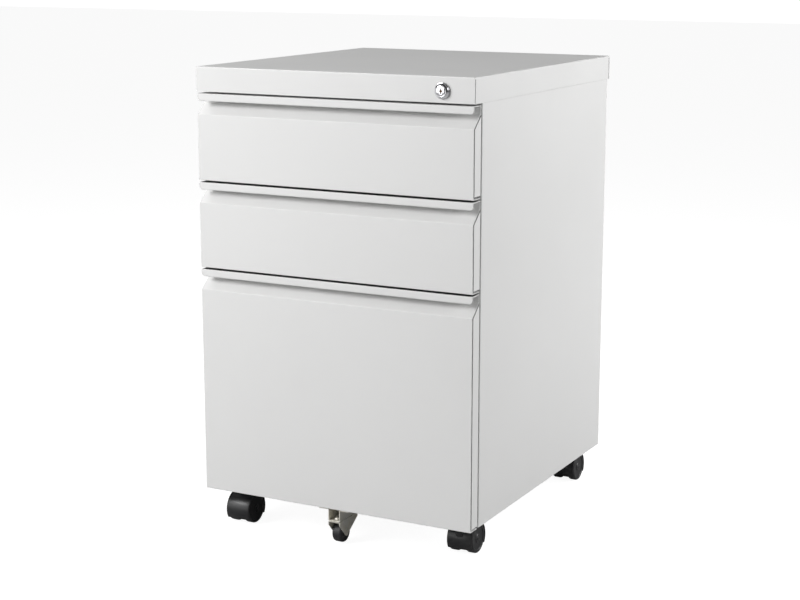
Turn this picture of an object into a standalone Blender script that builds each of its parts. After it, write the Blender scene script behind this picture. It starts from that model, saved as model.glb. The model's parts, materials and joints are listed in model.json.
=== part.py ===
"""Three-drawer steel pedestal cabinet on castors, with a small anti-tilt wheel.

Every piece is built about the cabinet's own datum: X across, Y from the drawer
fronts towards the back, Z up from the floor.  Moving pieces hang on empties
that lie on their joint's axis.  Units are metres.
"""
import math

import bmesh
import bpy
from mathutils import Vector

MM = 0.001

# Driving dimensions of the whole cabinet
WIDTH = 385 * MM
DEPTH = 430 * MM
HEIGHT = 600 * MM
UNDERSIDE = 50 * MM            # floor to the underside of the case
SHEET = 1.0 * MM               # steel sheet of case, cover and drawers
GAP = 0.3 * MM                 # clearance between pieces that rest on each other
BEND = 1.0 * MM                # bend radius at the middle of the sheet
REVEAL = 2.4 * MM              # gap above each drawer front

# Top cover and case
COVER_DROP = 31 * MM
COVER_SEAM = 1.3 * MM
CASE_HALF = WIDTH / 2 - SHEET - GAP
CASE_FRONT = 24 * MM
CASE_BACK = DEPTH - SHEET - GAP
CASE_TOP = HEIGHT - SHEET - GAP
POST_WIDTH = 9 * MM            # how far the case's folded edges turn inwards
POST_LIP_FRONT = 21 * MM
POST_LIP_BACK = 30 * MM
SWAGE = 1.2 * MM               # depth of the back panel's stiffening swages
FLOOR_FLANGE = 12 * MM
RAIL_DEPTH = 38 * MM

# Lock
LOCK_X = 151 * MM
LOCK_Z = HEIGHT - 17 * MM
LOCK_PROUD = 5.0 * MM
LOCK_BARREL = 8.0 * MM
PLUG_RADIUS = 6.0 * MM
ROD_RADIUS = 2.5 * MM
CAM_Y = 399.3 * MM
CAM_THICK = 3 * MM
CRANK = 8 * MM                 # cam pin to plug axis
CRANK_REST = math.radians(-45)
PIN_RADIUS = 2 * MM
BAR_Y = 405.5 * MM
BAR_THICK = 2 * MM
BAR_HALF = 8 * MM
BAR_X = LOCK_X + 7 * MM
BAR_FOOT = 95 * MM
CAM_RADIUS = 11 * MM
SLOT_SLACK = 0.6 * MM          # room round the crank pin in the bar's slot
BAR_ABOVE_SLOT = 6 * MM
TAB_REACH = 16 * MM            # side tab of the bar that stops a drawer's catch
TAB_ROOT = 14 * MM
TAB_TIP = 8 * MM
TAB_CLEAR = 3.5 * MM           # tab below the catch's lip when unlocked
GUIDE_HEIGHT = 15 * MM
GUIDE_FOOT = 6 * MM
GUIDE_SLACK = 2 * MM
GUIDES = {"upper": 440 * MM, "lower": 120 * MM}
COLLAR_RADIUS = 8.9 * MM
RING_RADIUS = 9.8 * MM
BARREL_END = 22 * MM
PLUG_END = 24 * MM
SHAFT_START = 27 * MM

# Drawers
BOX_FRONT = 109.5 * MM
FILE_FRONT = HEIGHT - COVER_DROP - UNDERSIDE - 3 * REVEAL - 2 * BOX_FRONT
FRONT_HALF = WIDTH / 2 - 1 * MM
FRONT_DEPTH = 21 * MM
LIP = 9.5 * MM                 # height of the pull's lip
FACE_DROP = 26.5 * MM          # drawer top to the top of the flat face
RECESS_DROP = 10.2 * MM        # drawer top to the slope's inner edge
RECESS_DEPTH = 19 * MM
LIP_CORNER = 5 * MM
SEAM = 2.4 * MM                # open seam between front skin and inner pan
TRAY_HALF = 168 * MM
TRAY_FLOOR = 10 * MM
TRAY_DEPTH = 365 * MM
BOX_TRAY = 72 * MM
FILE_TRAY = 240 * MM
TRAY_START = FRONT_DEPTH + GAP
TRAY_END = TRAY_START + TRAY_DEPTH
RAIL_STEEL = 0.8 * MM          # folded rail for the hooks of hanging files
RAIL_GAP = 1.0 * MM

# Catches welded to the trays' rear walls, for the locking bar
CATCH_STEEL = 1.5 * MM
WELD = 0.2 * MM                # how far the catch's foot is sunk into the wall by its weld
CATCH_BACK = 25.2 * MM
CATCH_LIP = 10 * MM
CATCH_FOOT = 16 * MM
CATCH_HALF = 7 * MM
CATCH_X = BAR_X - BAR_HALF - CATCH_HALF - 2 * MM
CATCH_DROP_BOX = 14 * MM
CATCH_DROP_FILE = 20 * MM

# Drawer slides
SLIDE_START = 26 * MM
SLIDE_LENGTH = 385 * MM
MIDDLE_LENGTH = 370 * MM
INNER_LENGTH = 355 * MM
SLIDE_SHEET = 1.2 * MM
OUTER_LIP = 172.5 * MM         # half-widths over the members' lips and webs
MIDDLE_WEB = 178.2 * MM
MIDDLE_LIP = 171.6 * MM
INNER_LIP = 176.2 * MM
BOX_OUTER = 42 * MM            # heights of the members
BOX_INNER = 34 * MM
FILE_OUTER = 46 * MM
FILE_MIDDLE = 38 * MM
FILE_INNER = 30 * MM

# Castors
CASTER_X = 154 * MM
CASTER_FRONT = 52 * MM
CASTER_REAR = 388 * MM
TRAIL = 16 * MM
WHEEL_RADIUS = 19 * MM
WHEEL_INNER = 6.5 * MM
WHEEL_OUTER = 17 * MM
AXLE_RADIUS = 2.5 * MM
PLATE_HALF = 19 * MM
PLATE_THICK = 2.5 * MM
STEM_RADIUS = 3.5 * MM
STEM_FOOT = 31 * MM
STEM_COLLAR = 46.2 * MM
GUARD_GAP = 0.8 * MM           # wheel to the guard over it
GUARD_THICK = 1.6 * MM
GUARD_START = math.radians(-32)
GUARD_END = math.radians(212)
WEB_HALF = 4.5 * MM
CASTER_TURNS = {                # how each castor has swivelled, from trailing to the front
    ("front", "left"): 0.0,
    ("front", "right"): math.pi,
    ("rear", "left"): math.pi,
    ("rear", "right"): math.pi,
}

# Anti-tilt wheel under the file drawer
TILT_WHEEL_RADIUS = 13 * MM
TILT_WHEEL_HALF = 6.8 * MM
TILT_AXLE = 20 * MM            # behind the drawer's face
TILT_CLEARANCE = 2 * MM        # wheel above the floor
CHANNEL_HALF = 8.5 * MM
CHANNEL_DROP = 16.5 * MM
CHANNEL_START = 2 * MM
CHANNEL_LENGTH = 50 * MM
EAR = 14 * MM
PLATE_STEEL = 1.2 * MM
RIVETS = (10 * MM, 33 * MM)
RIVET_SHANK = 2 * MM
RIVET_HOLE = RIVET_SHANK + GAP
FORK_NOSE = 4.5 * MM

FRONT_Y = (LOCK_PROUD - DEPTH) / 2     # the drawer fronts' plane in the part's frame


# ---------------------------------------------------------------- materials

def finish(name, colour, roughness, metallic):
    material = bpy.data.materials.new(name)
    material.use_nodes = True
    shader = material.node_tree.nodes["Principled BSDF"]
    shader.inputs["Base Color"].default_value = (*colour, 1.0)
    shader.inputs["Roughness"].default_value = roughness
    shader.inputs["Metallic"].default_value = metallic
    material.diffuse_color = (*colour, 1.0)
    return material


# ---------------------------------------------------------------- flat outlines

def arc(centre, radius, start, end, steps):
    """Points on an arc; angles in radians, from the first axis to the second."""
    points = []
    for step in range(steps + 1):
        angle = start + (end - start) * step / steps
        points.append((centre[0] + radius * math.cos(angle), centre[1] + radius * math.sin(angle)))
    return points


def rounded(points, radius=BEND, steps=3):
    """An open path with each inner corner replaced by an arc."""
    path = [Vector(points[0])]
    for before, corner, after in zip(points, points[1:], points[2:]):
        corner = Vector(corner)
        back = (Vector(before) - corner).normalized()
        onward = (Vector(after) - corner).normalized()
        half = back.angle(onward) / 2
        centre = corner + (back + onward).normalized() * (radius / math.sin(half))
        spoke = corner + back * (radius / math.tan(half)) - centre
        turn = math.copysign(math.pi - 2 * half, back.y * onward.x - back.x * onward.y)
        first = math.atan2(spoke.y, spoke.x)
        path += [Vector(point) for point in arc(centre, radius, first, first + turn, steps)]
    path.append(Vector(points[-1]))
    return path


def strip(points, thickness=SHEET, radius=BEND):
    """The outline of folded sheet whose middle follows the path."""
    path = rounded(points, radius)
    left = []
    right = []
    for index, point in enumerate(path):
        before = path[max(index - 1, 0)]
        after = path[min(index + 1, len(path) - 1)]
        arriving = (point - before).normalized() if index else (after - point).normalized()
        leaving = (after - point).normalized() if index < len(path) - 1 else arriving
        middle = (arriving + leaving).normalized()
        reach = thickness / 2 / middle.dot(arriving)
        side = Vector((-middle.y, middle.x)) * reach
        left.append(point + side)
        right.append(point - side)
    return left + right[::-1]


def mirrored(points):
    """The other half of a path that is the same on both sides of zero."""
    return list(points) + [(-u, v) for u, v in reversed(points)]


# ---------------------------------------------------------------- solids

def along_x(u, v, w):
    return (w, u, v)


def along_y(u, v, w):
    return (u, w, v)


def along_z(u, v, w):
    return (u, v, w)


def mesh_from(bm):
    bmesh.ops.recalc_face_normals(bm, faces=bm.faces)
    mesh = bpy.data.meshes.new("solid")
    bm.to_mesh(mesh)
    bm.free()
    return mesh


def prism(outline, start, end, place):
    """A flat outline carried from start to end along the axis that place names."""
    bm = bmesh.new()
    near = [bm.verts.new(place(u, v, start)) for u, v in outline]
    far = [bm.verts.new(place(u, v, end)) for u, v in outline]
    bm.faces.new(near)
    bm.faces.new(far[::-1])
    for index in range(len(outline)):
        ahead = (index + 1) % len(outline)
        bm.faces.new((near[index], far[index], far[ahead], near[ahead]))
    return mesh_from(bm)


def block(low, high):
    outline = [(low[0], low[1]), (high[0], low[1]), (high[0], high[1]), (low[0], high[1])]
    return prism(outline, low[2], high[2], along_z)


def turned(profile, centre, place, segments):
    """A closed profile of (radius, distance) points turned about an axis."""
    bm = bmesh.new()
    rings = []
    for step in range(segments):
        angle = 2 * math.pi * step / segments
        ring = []
        for radius, distance in profile:
            u = centre[0] + radius * math.cos(angle)
            v = centre[1] + radius * math.sin(angle)
            ring.append(bm.verts.new(place(u, v, distance)))
        rings.append(ring)
    for index, ring in enumerate(rings):
        following = rings[(index + 1) % segments]
        for point in range(len(profile)):
            ahead = (point + 1) % len(profile)
            bm.faces.new((ring[point], following[point], following[ahead], ring[ahead]))
    bmesh.ops.remove_doubles(bm, verts=bm.verts, dist=1e-6)
    return mesh_from(bm)


def rod(centre, radius, start, end, place, segments=20):
    return prism(arc(centre, radius, 0, 2 * math.pi, segments)[:-1], start, end, place)


def combine(base, tool, operation):
    """The base mesh with the tool joined to it or cut out of it."""
    holder = bpy.data.objects.new("holder", base)
    cutter = bpy.data.objects.new("cutter", tool)
    for item in (holder, cutter):
        bpy.context.scene.collection.objects.link(item)
    boolean = holder.modifiers.new("boolean", "BOOLEAN")
    boolean.operation = operation
    boolean.solver = "EXACT"
    boolean.object = cutter
    bpy.context.view_layer.update()
    evaluated = holder.evaluated_get(bpy.context.evaluated_depsgraph_get())
    result = bpy.data.meshes.new_from_object(evaluated)
    for item in (holder, cutter):
        bpy.data.objects.remove(item)
    return result


def joined(base, *tools):
    for tool in tools:
        base = combine(base, tool, "UNION")
    return base


def cut(base, *tools):
    for tool in tools:
        base = combine(base, tool, "DIFFERENCE")
    return base


# ---------------------------------------------------------------- objects

def pivot(name, parent, location, turn=0.0):
    """An empty on a joint's axis, which carries the pieces that move together."""
    empty = bpy.data.objects.new(name, None)
    bpy.context.scene.collection.objects.link(empty)
    empty.empty_display_size = 20 * MM
    empty.parent = parent
    empty.location = location
    empty.rotation_euler = (0, 0, turn)
    return empty


def piece(name, mesh, material, parent, round_piece=False):
    item = bpy.data.objects.new(name, mesh)
    bpy.context.scene.collection.objects.link(item)
    mesh.materials.clear()
    mesh.materials.append(material)
    if round_piece:
        mesh.shade_smooth()
        mesh.set_sharp_from_angle(angle=math.radians(35))
    item.parent = parent
    return item


# ---------------------------------------------------------------- case and cover

def top_cover():
    """A folded lid with open seams at its four corners and a hole for the lock."""
    half = WIDTH / 2
    low = HEIGHT - COVER_DROP
    bm = bmesh.new()
    bmesh.ops.create_cube(bm, size=1.0)
    for vert in bm.verts:
        vert.co = (vert.co.x * WIDTH, (vert.co.y + 0.5) * DEPTH, low + (vert.co.z + 0.5) * COVER_DROP)
    upper = [edge for edge in bm.edges if min(vert.co.z for vert in edge.verts) > HEIGHT - 1e-5]
    bmesh.ops.bevel(bm, geom=upper, offset=1.5 * MM, segments=3, profile=0.5, affect="EDGES")
    lid = mesh_from(bm)
    inside = block((-half + SHEET, SHEET, low - 5 * MM), (half - SHEET, DEPTH - SHEET, HEIGHT - SHEET))
    slits = []
    for side in (-1, 1):
        for start in (SHEET, DEPTH - SHEET - COVER_SEAM):
            x = sorted((side * (half - 2 * SHEET), side * (half + SHEET)))
            slits.append(block((x[0], start, low - SHEET), (x[1], start + COVER_SEAM, HEIGHT - 2.5 * MM)))
    hole = rod((LOCK_X, LOCK_Z), LOCK_BARREL + GAP, -SHEET, 2 * SHEET, along_y, 28)
    return cut(lid, inside, hole, *slits)


def side_panel(side):
    """Outer sheet with its front and rear edges folded into narrow posts."""
    lip = side * (CASE_HALF - SHEET / 2 - POST_WIDTH)
    skin = side * (CASE_HALF - SHEET / 2)
    front = CASE_FRONT + SHEET / 2
    back = CASE_BACK - 1.5 * SHEET - GAP
    path = [(lip, front + POST_LIP_FRONT), (lip, front), (skin, front), (skin, back), (lip, back)]
    path.append((lip, back - POST_LIP_BACK))
    return prism(strip(path), UNDERSIDE, CASE_TOP, along_z)


def back_panel():
    """Rear sheet with two shallow upright swages that stiffen it."""
    y = CASE_BACK - SHEET / 2
    edge = CASE_HALF - SHEET
    path = []
    for centre in (-edge / 2, edge / 2):
        path += [(centre - 16 * MM, y), (centre - 12 * MM, y - SWAGE)]
        path += [(centre + 12 * MM, y - SWAGE), (centre + 16 * MM, y)]
    path = [(-edge, y)] + path + [(edge, y)]
    return prism(strip(path), UNDERSIDE, CASE_TOP, along_z)


def bottom_panel():
    """Floor of the case, turned up along both sides and notched round the posts."""
    edge = CASE_HALF - SHEET - GAP
    z = UNDERSIDE + GAP + SHEET / 2
    path = mirrored([(-edge + SHEET / 2, z + FLOOR_FLANGE), (-edge + SHEET / 2, z)])
    end = CASE_BACK - SHEET - SWAGE - GAP
    start = CASE_FRONT + 1.5 * SHEET
    panel = prism(strip(path), start, end, along_y)
    notch = CASE_HALF - SHEET - POST_WIDTH - GAP
    notches = []
    for side in (-1, 1):
        x = sorted((side * notch, side * WIDTH))
        for y in ((0, start + POST_LIP_FRONT), (end - POST_LIP_BACK - 2 * SHEET, DEPTH)):
            notches.append(block((x[0], y[0], 0), (x[1], y[1], 2 * UNDERSIDE)))
    return cut(panel, *notches)


def front_rail():
    """Channel behind the cover's front edge, which carries the lock."""
    y = SHEET * 1.5 + GAP
    low = HEIGHT - COVER_DROP + 3 * MM
    high = CASE_TOP - SHEET
    path = [(y + RAIL_DEPTH, low), (y, low), (y, high), (y + RAIL_DEPTH, high)]
    half = CASE_HALF - SHEET - POST_WIDTH - GAP
    rail = prism(strip(path), -half, half, along_x)
    hole = rod((LOCK_X, LOCK_Z), LOCK_BARREL + GAP, 0, 5 * MM, along_y, 28)
    return cut(rail, hole)


def case_pieces(cabinet, painted):
    piece("top_cover", top_cover(), painted, cabinet)
    piece("left_side_panel", side_panel(-1), painted, cabinet)
    piece("right_side_panel", side_panel(1), painted, cabinet)
    piece("back_panel", back_panel(), painted, cabinet)
    piece("bottom_panel", bottom_panel(), painted, cabinet)
    piece("front_rail", front_rail(), painted, cabinet)


# ---------------------------------------------------------------- lock

def lock_housing():
    """Collar and threaded barrel, open right through for the plug."""
    bore = PLUG_RADIUS + GAP
    face = -LOCK_PROUD
    chamfer = 0.8 * MM
    profile = [(bore, face), (COLLAR_RADIUS - chamfer, face), (COLLAR_RADIUS, face + chamfer)]
    profile += [(COLLAR_RADIUS, -1.9 * MM), (RING_RADIUS, -1.6 * MM), (RING_RADIUS, -GAP)]
    profile += [(LOCK_BARREL, -GAP), (LOCK_BARREL, BARREL_END), (bore, BARREL_END)]
    return turned(profile, (0, 0), along_y, 28)


def keyway():
    """Upright slot, widest at the middle."""
    outline = [(0.7, 3.9), (0.8, 2.0), (2.4, 0.6), (2.4, -0.6), (0.8, -2.0), (0.7, -3.9)]
    return [(u * MM, v * MM) for u, v in mirrored(outline)]


def lock_plug():
    face = -LOCK_PROUD + GAP
    neck = 3 * MM
    profile = [(0, face), (PLUG_RADIUS, face), (PLUG_RADIUS, PLUG_END), (neck, PLUG_END)]
    profile += [(neck, SHAFT_START), (0, SHAFT_START)]
    plug = turned(profile, (0, 0), along_y, 24)
    return cut(plug, prism(keyway(), face - SHEET, face + 6 * MM, along_y))


def lock_rod():
    """Rod behind the plug, with a disc whose crank pin lifts the locking bar."""
    shaft = rod((0, 0), ROD_RADIUS, SHAFT_START + GAP, CAM_Y + CAM_THICK / 2, along_y, 14)
    disc = rod((0, 0), CAM_RADIUS, CAM_Y, CAM_Y + CAM_THICK, along_y, 28)
    centre = (CRANK * math.cos(CRANK_REST), CRANK * math.sin(CRANK_REST))
    pin = rod(centre, PIN_RADIUS, CAM_Y + SHEET, BAR_Y + BAR_THICK + 3 * MM, along_y, 14)
    return joined(disc, pin, shaft)


def catch_height(bottom, front_height):
    """Height of a drawer's catch above the floor, for the bar's hook below it."""
    if front_height == FILE_FRONT:
        return bottom + TRAY_FLOOR + FILE_TRAY - CATCH_DROP_FILE
    return bottom + TRAY_FLOOR + BOX_TRAY - CATCH_DROP_BOX


def locking_bar(catches):
    """Upright flat bar with a side tab in front of each catch's lip, and below it when unlocked."""
    near = BAR_X - BAR_HALF
    far = BAR_X + BAR_HALF
    tip = near - TAB_REACH
    slot_z = LOCK_Z + CRANK * math.sin(CRANK_REST)
    head = slot_z + BAR_ABOVE_SLOT
    outline = [(far, BAR_FOOT), (far, head), (near, head)]
    for catch in sorted(catches, reverse=True):
        top = catch - CATCH_LIP - TAB_CLEAR
        outline += [(near, top), (tip, top), (tip, top - TAB_TIP), (near, top - TAB_ROOT)]
    outline.append((near, BAR_FOOT))
    bar = prism(outline, BAR_Y, BAR_Y + BAR_THICK, along_y)
    room = PIN_RADIUS + SLOT_SLACK
    slot_near = LOCK_X + CRANK * math.cos(CRANK_REST) - room
    slot_far = LOCK_X + CRANK + room
    slot_low = (slot_near, BAR_Y - SHEET, slot_z - room)
    slot_high = (slot_far, BAR_Y + BAR_THICK + SHEET, slot_z + room)
    return cut(bar, block(slot_low, slot_high))


def bar_guide(low):
    """Strap that holds the bar to the back panel and lets it slide."""
    foot = CASE_BACK - 1.5 * SHEET - GAP
    bridge = BAR_Y - 1.6 * MM
    reach = BAR_HALF + GUIDE_SLACK
    half = [(-reach - GUIDE_FOOT, foot), (-reach, foot), (-reach, bridge)]
    path = [(BAR_X + u, v) for u, v in mirrored(half)]
    return prism(strip(path), low, low + GUIDE_HEIGHT, along_z)


def lock_pieces(cabinet, chrome, zinc, drawers):
    barrel = pivot("lock_barrel_axis", cabinet, (LOCK_X, 0, LOCK_Z))
    piece("lock_housing", lock_housing(), chrome, barrel, True)
    plug = pivot("lock_plug_axis", cabinet, (LOCK_X, 0, LOCK_Z))
    piece("lock_plug", lock_plug(), chrome, plug, True)
    piece("lock_rod", lock_rod(), zinc, plug, True)
    catches = [catch_height(bottom, height) for bottom, height in drawers]
    piece("locking_bar", locking_bar(catches), zinc, cabinet)
    for place, low in GUIDES.items():
        piece(f"bar_guide_{place}", bar_guide(low), zinc, cabinet)


# ---------------------------------------------------------------- slides

def channel(side, web, lips, height, length, centre):
    """One slide member: a channel on its side, with rounded corners."""
    high = (height - SLIDE_SHEET) / 2
    path = [(side * lips, centre + high), (side * web, centre + high)]
    path += [(side * web, centre - high), (side * lips, centre - high)]
    return prism(strip(path, SLIDE_SHEET, 1.5 * MM), SLIDE_START, SLIDE_START + length, along_y)


def slides(label, side, side_name, cabinet, drawer, bottom, centre, zinc, middle=None):
    """The members on one side of a drawer, from the case inwards."""
    outer_web = CASE_HALF - SHEET - POST_WIDTH - GAP - SLIDE_SHEET / 2
    inner_web = TRAY_HALF + GAP + SLIDE_SHEET / 2
    tall = FILE_OUTER if middle else BOX_OUTER
    outer = channel(side, outer_web, OUTER_LIP, tall, SLIDE_LENGTH, bottom + centre)
    piece(f"{label}_{side_name}_slide_outer", outer, zinc, cabinet)
    if middle:
        member = channel(side, MIDDLE_WEB, MIDDLE_LIP, FILE_MIDDLE, MIDDLE_LENGTH, bottom + centre)
        piece(f"{label}_{side_name}_slide_middle", member, zinc, middle)
    height = FILE_INNER if middle else BOX_INNER
    inner = channel(side, inner_web, INNER_LIP, height, INNER_LENGTH, centre)
    piece(f"{label}_{side_name}_slide_inner", inner, zinc, drawer)


# ---------------------------------------------------------------- drawers

def lip_corner(side, height):
    """Cutter that rounds one lower corner of the pull's lip."""
    x = side * FRONT_HALF
    low = height - LIP
    inner = (x - side * LIP_CORNER, low + LIP_CORNER)
    if side > 0:
        curve = arc(inner, LIP_CORNER, 0, -math.pi / 2, 5)
    else:
        curve = arc(inner, LIP_CORNER, math.pi, 1.5 * math.pi, 5)
    beyond = side * 2 * MM
    corner = [(inner[0], low - 2 * MM), (x + beyond, low - 2 * MM), (x + beyond, inner[1])]
    return prism(curve + corner, -2 * MM, 5 * MM, along_y)


def front_skin(height):
    """One folded sheet: bottom flange, face, slope, recess, top ledge and hemmed lip."""
    middle = SHEET / 2
    hem = 1.7 * MM
    inner = RECESS_DEPTH
    lip_low = height - LIP + middle
    path = [(inner, middle), (middle, middle), (middle, height - FACE_DROP), (inner, height - RECESS_DROP)]
    path += [(inner, height - middle), (middle, height - middle), (middle, lip_low)]
    path += [(middle + hem, lip_low), (middle + hem, height - 4 * MM)]
    skin = prism(strip(path, SHEET, 0.65 * MM), -FRONT_HALF, FRONT_HALF, along_x)
    return cut(skin, lip_corner(-1, height), lip_corner(1, height))


def front_pan(height):
    """Inner panel whose end flanges close the front's ends below the pull."""
    y = FRONT_DEPTH - SHEET / 2
    edge = FRONT_HALF - SHEET / 2
    flange = SHEET + SEAM
    pan = prism(strip(mirrored([(-edge, flange), (-edge, y)])), flange, height - 1.5 * MM, along_z)
    front_end = height - FACE_DROP - SEAM - SHEET
    back_end = height - RECESS_DROP - SEAM - SHEET
    slope = (back_end - front_end) / RECESS_DEPTH
    clear = RECESS_DEPTH + SHEET / 2 + 0.2 * MM
    above = height + 5 * MM
    wedge = [(-SHEET, front_end - slope * SHEET), (clear, front_end + slope * clear)]
    wedge += [(clear, above), (-SHEET, above)]
    return cut(pan, prism(wedge, -WIDTH, WIDTH, along_x))


def tray(wall_height):
    """Floor and side walls in one sheet; the front pan and the rear wall close its ends."""
    top = TRAY_FLOOR + wall_height
    shell = block((-TRAY_HALF, TRAY_START, TRAY_FLOOR), (TRAY_HALF, TRAY_END, top))
    hollow_low = (-TRAY_HALF + SHEET, 0, TRAY_FLOOR + SHEET)
    hollow = block(hollow_low, (TRAY_HALF - SHEET, DEPTH, top + SHEET))
    return cut(shell, hollow)


def back_wall(wall_height, catch):
    """Tray's rear wall with its catch: a foot, an arm past the locking bar and a lip behind its tab."""
    side = TRAY_HALF - SHEET - GAP
    low = TRAY_FLOOR + SHEET + GAP
    wall = block((-side, TRAY_END - SHEET, low), (side, TRAY_END, TRAY_FLOOR + wall_height))
    foot = TRAY_END + CATCH_STEEL / 2 - WELD
    back = TRAY_END + CATCH_BACK - CATCH_STEEL / 2
    arm = catch - CATCH_STEEL / 2
    path = [(foot, catch - CATCH_FOOT), (foot, arm), (back, arm), (back, catch - CATCH_LIP)]
    hook = prism(strip(path, CATCH_STEEL), CATCH_X - CATCH_HALF, CATCH_X + CATCH_HALF, along_x)
    return joined(wall, hook)


def file_rail(side):
    """Folded rail clipped over a side wall, for the hooks of hanging files."""
    top = TRAY_FLOOR + FILE_TRAY + RAIL_GAP
    inner = side * (TRAY_HALF - SHEET - RAIL_STEEL / 2 - 0.7 * MM)
    outer = side * (TRAY_HALF + RAIL_STEEL / 2 + 0.7 * MM)
    path = [(inner, top - 12 * MM), (inner, top), (outer, top), (outer, top - 7 * MM)]
    start = TRAY_START + 2.7 * MM
    return prism(strip(path, RAIL_STEEL, RAIL_STEEL), start, TRAY_END - 2.3 * MM, along_y)


def drawer(label, number, cabinet, bottom, height, painted, zinc):
    axis = pivot(f"drawer_{number}_axis", cabinet, (0, 0, bottom))
    is_file = height == FILE_FRONT
    wall = FILE_TRAY if is_file else BOX_TRAY
    piece(f"{label}_front_skin", front_skin(height), painted, axis)
    piece(f"{label}_front_pan", front_pan(height), painted, axis)
    piece(f"{label}_tray", tray(wall), painted, axis)
    piece(f"{label}_back_wall", back_wall(wall, catch_height(0, height)), painted, axis)
    centre = TRAY_FLOOR + wall / 2
    middle = pivot("slide_middle_axis", cabinet, (0, 0, 0)) if is_file else None
    for side, side_name in ((-1, "left"), (1, "right")):
        slides(label, side, side_name, cabinet, axis, bottom, centre, zinc, middle)
        if is_file:
            piece(f"{label}_{side_name}_file_rail", file_rail(side), zinc, axis)
    return axis


# ---------------------------------------------------------------- castors

def caster_plate():
    """Square mounting plate with rounded corners and the swivel stem under it."""
    top = UNDERSIDE
    low = top - PLATE_THICK
    corner = 5 * MM
    inner = PLATE_HALF - corner
    outline = []
    for quarter, (x, y) in enumerate(((inner, inner), (-inner, inner), (-inner, -inner), (inner, -inner))):
        start = quarter * math.pi / 2
        outline += arc((x, y), corner, start, start + math.pi / 2, 3)
    plate = prism(outline, low, top, along_z)
    collar = 8 * MM
    stem = [(0, STEM_FOOT), (STEM_RADIUS, STEM_FOOT), (STEM_RADIUS, STEM_COLLAR)]
    stem += [(collar, STEM_COLLAR), (collar, low + SHEET), (0, low + SHEET)]
    return joined(plate, turned(stem, (0, 0), along_z, 20))


def caster_hood():
    """Swivelling body: guard over both wheels, web, stem boss and fixed axle."""
    centre = (-TRAIL, WHEEL_RADIUS)
    guard_in = WHEEL_RADIUS + GUARD_GAP
    guard_out = guard_in + GUARD_THICK
    guard = arc(centre, guard_out, GUARD_START, GUARD_END, 16)
    guard += arc(centre, guard_in, GUARD_END, GUARD_START, 16)
    web = arc(centre, guard_out - 0.6 * MM, math.radians(75), GUARD_END, 12)
    web += arc(centre, 15.5 * MM, GUARD_END, math.radians(310), 8)
    web += [(5.6 * MM, 26 * MM), (5.6 * MM, 44 * MM), (-6 * MM, 44 * MM)]
    boss = [(0, 24.5 * MM), (6.2 * MM, 24.5 * MM), (6.2 * MM, 42 * MM), (10 * MM, 42 * MM)]
    boss += [(10 * MM, 45.7 * MM), (0, 45.7 * MM)]
    axle = rod(centre, AXLE_RADIUS, -WHEEL_OUTER + 0.1 * MM, WHEEL_OUTER - 0.1 * MM, along_x, 12)
    body = joined(
        prism(web, -WEB_HALF, WEB_HALF, along_x),
        prism(guard, -WHEEL_OUTER, WHEEL_OUTER, along_x),
        turned(boss, (0, 0), along_z, 20),
        axle,
    )
    bore = rod((0, 0), STEM_RADIUS + GAP, STEM_FOOT - 2 * GAP, UNDERSIDE, along_z, 20)
    return cut(body, bore)


def caster_wheel(side):
    """Solid wheel with rounded shoulders, a dished outer face and a bore for the axle."""
    shoulder = 2 * MM
    inner = WHEEL_INNER
    outer = WHEEL_OUTER
    bore = AXLE_RADIUS + GAP
    turn_in = WHEEL_RADIUS - shoulder
    profile = [(bore, inner)]
    profile += [(r, x) for x, r in arc((inner + shoulder, turn_in), shoulder, math.pi, math.pi / 2, 2)]
    profile += [(r, x) for x, r in arc((outer - shoulder, turn_in), shoulder, math.pi / 2, 0, 2)]
    profile += [(14.5 * MM, outer), (13.8 * MM, outer - 1.4 * MM), (5.5 * MM, outer - 1.4 * MM)]
    profile += [(5 * MM, outer - 0.4 * MM), (bore, outer - 0.4 * MM)]
    return turned([(r, side * x) for r, x in profile], (0, 0), along_x, 28)


def casters(cabinet, plastic, zinc):
    plate_mesh = caster_plate()
    hood_mesh = caster_hood()
    wheel_meshes = {"left": caster_wheel(-1), "right": caster_wheel(1)}
    for end, y in (("front", CASTER_FRONT), ("rear", CASTER_REAR)):
        for side, x in (("left", -CASTER_X), ("right", CASTER_X)):
            name = f"{end}_{side}_caster"
            turn = CASTER_TURNS[end, side]
            swivel = pivot(f"{name}_swivel_axis", cabinet, (x, y, 0), turn)
            fixed = pivot(f"{name}_mount", cabinet, (x, y, 0))
            piece(f"{name}_plate", plate_mesh, zinc, fixed, True)
            piece(f"{name}_hood", hood_mesh, plastic, swivel, True)
            axle = pivot(f"{name}_wheel_axis", swivel, (0, -TRAIL, WHEEL_RADIUS))
            for wheel_side, mesh in wheel_meshes.items():
                piece(f"{name}_wheel_{wheel_side}", mesh, plastic, axle, True)


# ---------------------------------------------------------------- anti-tilt wheel

def tilt_bracket():
    """Channel hung under the drawer front by two ears, open towards the front."""
    top = UNDERSIDE - GAP - PLATE_STEEL / 2
    low = UNDERSIDE - CHANNEL_DROP + PLATE_STEEL / 2
    wall = CHANNEL_HALF - PLATE_STEEL / 2
    path = mirrored([(-wall - EAR, top), (-wall, top), (-wall, low)])
    bracket = prism(strip(path, PLATE_STEEL), CHANNEL_START, CHANNEL_START + CHANNEL_LENGTH, along_y)
    holes = [rod((0, y), RIVET_HOLE, low - 5 * MM, low + 5 * MM, along_z, 12) for y in RIVETS]
    return cut(bracket, *holes)


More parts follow.
